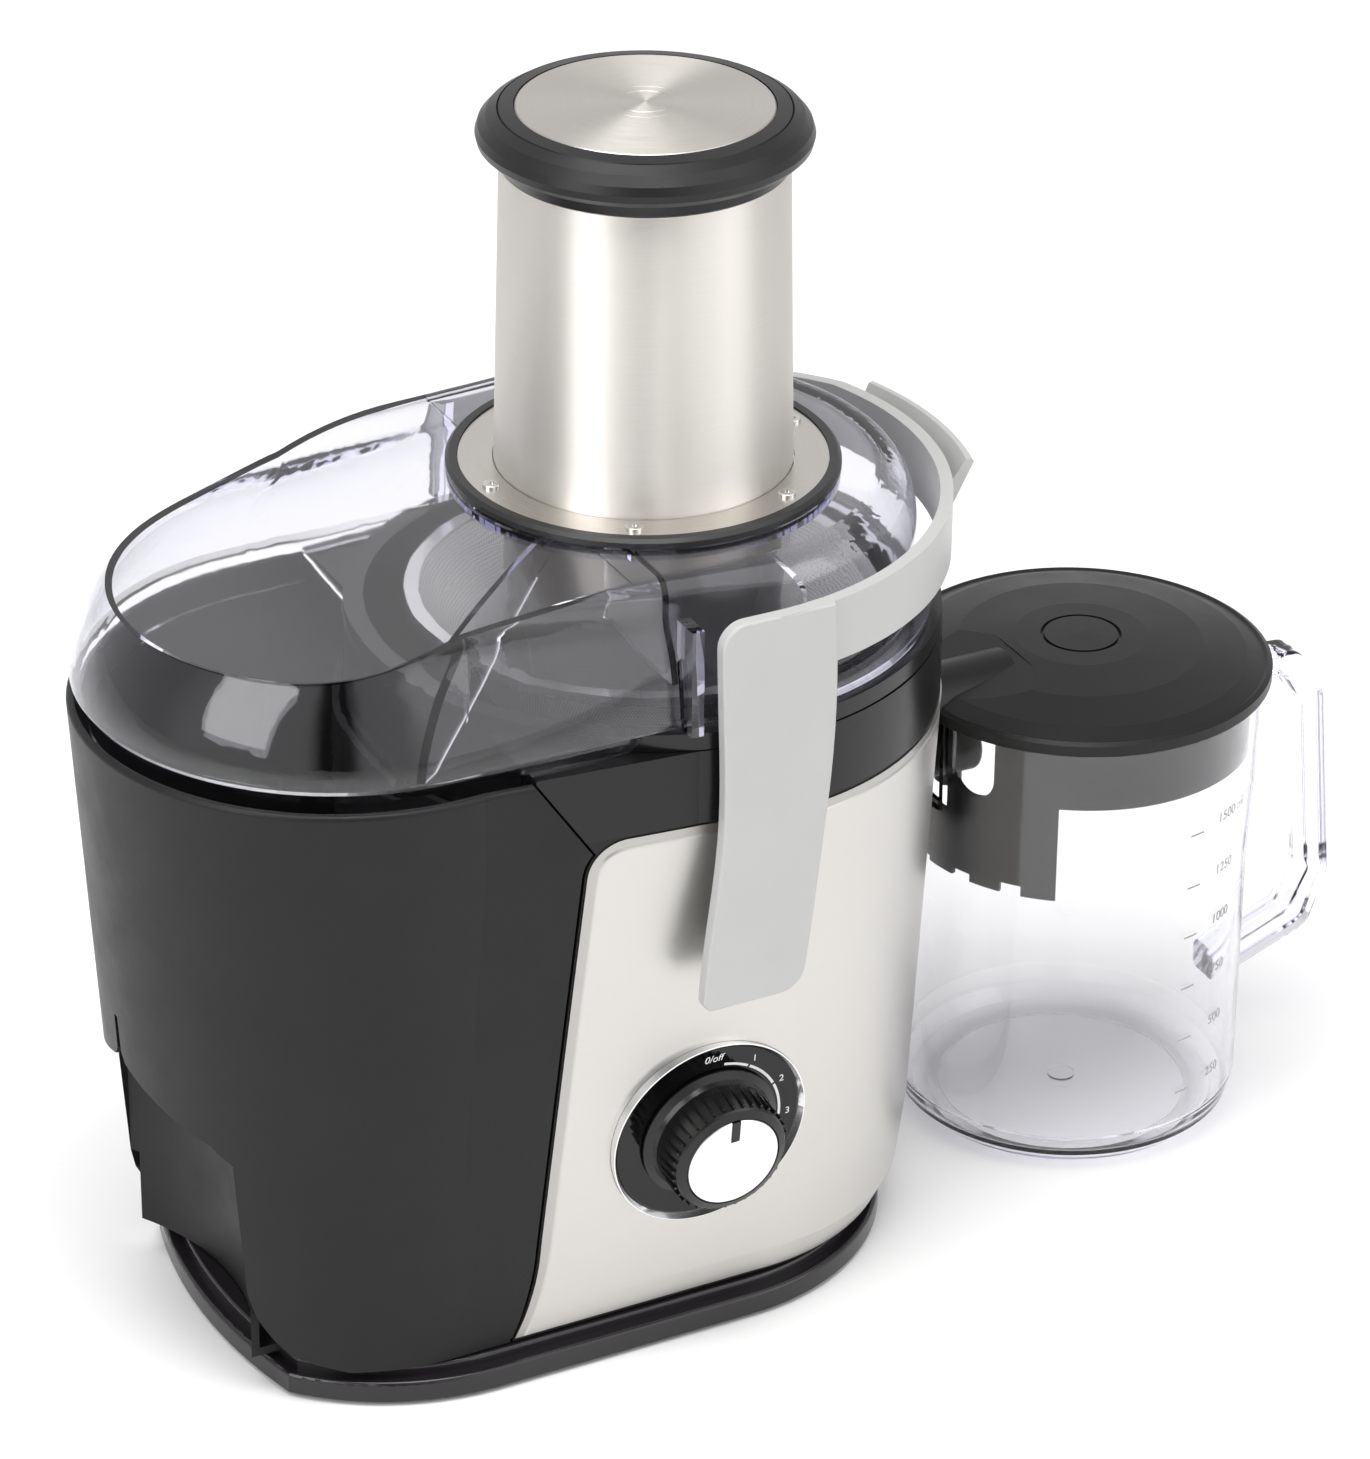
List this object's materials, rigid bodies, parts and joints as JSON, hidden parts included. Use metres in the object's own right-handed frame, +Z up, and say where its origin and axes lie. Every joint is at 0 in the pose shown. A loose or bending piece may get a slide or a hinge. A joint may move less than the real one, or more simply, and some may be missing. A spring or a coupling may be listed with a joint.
{
  "type": "centrifugal juicer",
  "caption": "Countertop juicer with a steel feed chute and pusher, clear lid, spinning filter basket, locking arm, pulp container and lidded juice jug.",
  "frame": {"origin": "centre of the whole object's footprint box, on the surface it stands on", "axes": "+X from the pulp container towards the juice jug, +Y towards the back wall where the lead enters, +Z up; the control knob faces -Y"},
  "size_m": [0.4932, 0.2208, 0.4281],
  "materials": {
    "rubber": "matte moulded rubber",
    "plinth_plastic": "glossy moulded plastic",
    "screw_steel": "zinc plated steel",
    "housing_plastic": "fine satin grain",
    "wrap_steel": "satin brushed stainless steel, light champagne tone",
    "band_plastic": "gloss moulded plastic",
    "dial_gloss": "piano black with white legend",
    "bezel_chrome": "polished trim",
    "knob_plastic": "semi-gloss moulded plastic",
    "knob_metal": "bright satin disc",
    "switch_plastic": "moulded electrical plastic",
    "board_green": "solder mask",
    "bracket_alloy": "die cast",
    "bearing_bronze": "sintered bush",
    "lamination_steel": "varnished laminations",
    "copper_wire": "enamelled copper winding",
    "shaft_steel": "ground steel",
    "carbon": "pressed carbon",
    "bowl_plastic": "gloss moulded plastic",
    "hub_plastic": "glass filled plastic",
    "grater_steel": "pressed stainless steel",
    "mesh_steel": "perforated stainless steel",
    "rim_steel": "polished stainless steel",
    "lid_clear": "clear polycarbonate with a faint blue edge tint",
    "gasket_rubber": "soft seal",
    "plate_steel": "satin stainless steel",
    "tube_steel": "brushed stainless steel, fine rings",
    "liner_plastic": "smoked plastic tube",
    "pusher_plastic": "satin moulded plastic",
    "disc_steel": "circular brushed steel",
    "arm_alloy": "satin silver",
    "pin_steel": "turned steel",
    "container_plastic": "fine satin grain",
    "jug_clear": "clear plastic with a faint violet edge tint",
    "separator_smoke": "dark translucent plastic",
    "jug_lid_plastic": "satin moulded plastic",
    "drip_plastic": "moulded plastic"
  },
  "bodies": {
    "base": {"rubber_feet": "rubber", "base_plinth": "plinth_plastic", "base_screws": "screw_steel", "motor_housing": "housing_plastic", "front_panel": "wrap_steel", "housing_band": "band_plastic", "cord_gland": "housing_plastic", "dial_plate": "dial_gloss", "dial_bezel": "bezel_chrome", "rotary_switch": "switch_plastic", "control_board": "board_green", "interlock_switch": "switch_plastic", "lower_bracket": "bracket_alloy", "upper_bracket": "bracket_alloy", "motor_bolts": "screw_steel", "lower_bearing": "bearing_bronze", "upper_bearing": "bearing_bronze", "motor_mounts": "rubber", "stator_core": "lamination_steel", "field_coils": "copper_wire", "carbon_brushes": "carbon", "brush_holders": "bracket_alloy", "shaft_seal": "rubber", "juice_bowl": "bowl_plastic", "arm_pivots": "pin_steel", "arm_spacers": "housing_plastic"},
    "drive": {"drive_shaft": "shaft_steel", "rotor_core": "lamination_steel", "commutator": "copper_wire", "cooling_fan": "switch_plastic", "drive_coupling": "hub_plastic", "basket_hub": "hub_plastic", "grater_disc": "grater_steel", "filter_mesh": "mesh_steel", "basket_rim": "rim_steel"},
    "knob": {"knob_body": "knob_plastic", "knob_cap": "knob_metal", "knob_marker": "knob_plastic", "knob_shaft": "shaft_steel"},
    "locking_arm": {"locking_arm": "arm_alloy"},
    "lid": {"lid": "lid_clear", "lid_gasket": "gasket_rubber", "ring_plate": "plate_steel", "lid_screws": "screw_steel", "feed_tube": "tube_steel", "chute_liner": "liner_plastic"},
    "pusher": {"pusher_body": "pusher_plastic", "pusher_cap": "pusher_plastic", "pusher_disc": "disc_steel"},
    "pulp_container": {"pulp_container": "container_plastic"},
    "jug": {"jug": "jug_clear", "froth_separator": "separator_smoke"},
    "jug_lid": {"jug_lid": "jug_lid_plastic"},
    "drip_stop": {"drip_stop": "drip_plastic"}
  },
  "joints": [
    {"name": "motor_spin", "type": "hinge", "parent": "base", "child": "drive", "pos_m": [-0.04125, 0, 0], "axis": [0, 0, 1], "continuous": true},
    {"name": "speed_knob", "type": "hinge", "parent": "base", "child": "knob", "pos_m": [-0.05975, -0.08814, 0.0843], "axis": [0, 0.9935, 0.1142], "range_deg": [0, 92]},
    {"name": "arm_swing", "type": "hinge", "parent": "base", "child": "locking_arm", "pos_m": [-0.05125, 0, 0.16], "axis": [0, 1, 0], "range_deg": [0, 22]},
    {"name": "lid_lift", "type": "slide", "parent": "base", "child": "lid", "axis": [0, 0, 1], "range_m": [0, 0.16]},
    {"name": "pusher_slide", "type": "slide", "parent": "lid", "child": "pusher", "axis": [0, 0, 1], "range_m": [0, 0.15]},
    {"name": "container_slide", "type": "slide", "parent": "base", "child": "pulp_container", "axis": [-1, 0, 0], "range_m": [0, 0.12]},
    {"name": "jug_slide", "type": "slide", "parent": "base", "child": "jug", "axis": [1, 0, 0], "range_m": [0, 0.15]},
    {"name": "jug_lid_lift", "type": "slide", "parent": "jug", "child": "jug_lid", "axis": [0, 0, 1], "range_m": [0, 0.05]},
    {"name": "drip_stop_turn", "type": "hinge", "parent": "base", "child": "drip_stop", "pos_m": [0.07875, 0, 0.157], "axis": [1, 0, 0], "range_deg": [0, 180]}
  ]
}
